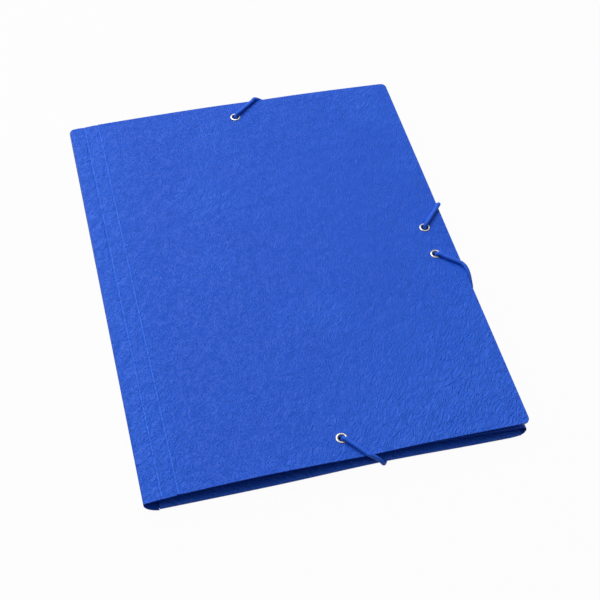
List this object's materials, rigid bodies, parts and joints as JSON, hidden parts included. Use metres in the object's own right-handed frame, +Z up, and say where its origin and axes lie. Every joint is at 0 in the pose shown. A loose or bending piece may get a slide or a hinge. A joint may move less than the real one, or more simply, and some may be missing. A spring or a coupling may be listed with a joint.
{
  "type": "elastic folder",
  "caption": "Flat card document folder with a front cover that opens like a book's, three inner flaps, metal eyelets and elastic cords across its fore-edge corners.",
  "frame": {"origin": "centre of the bottom of the whole folder's box, on the table that it lies on", "axes": "+X from the spine fold to the fore-edge, +Y along the spine to the top edge, +Z up through the front cover"},
  "size_m": [0.248, 0.3292, 0.0179],
  "materials": {
    "card": "blue leather-grain card, satin",
    "cord": "blue braided cover over rubber, matte",
    "nickel": "bright nickel plate"
  },
  "bodies": {
    "back": {"back_cover": "card"},
    "cover": {"front_cover": "card", "eyelet_top": "nickel", "eyelet_bottom": "nickel", "eyelet_side_upper": "nickel", "eyelet_side_lower": "nickel", "elastic_upper": "cord", "elastic_lower": "cord"}
  },
  "joints": [
    {"name": "cover_hinge", "type": "hinge", "parent": "back", "child": "cover", "pos_m": [-0.12355, 0, 0.0083], "axis": [0, -1, 0], "range_deg": [0, 180], "deforming": ["elastic_upper", "elastic_lower"]}
  ]
}
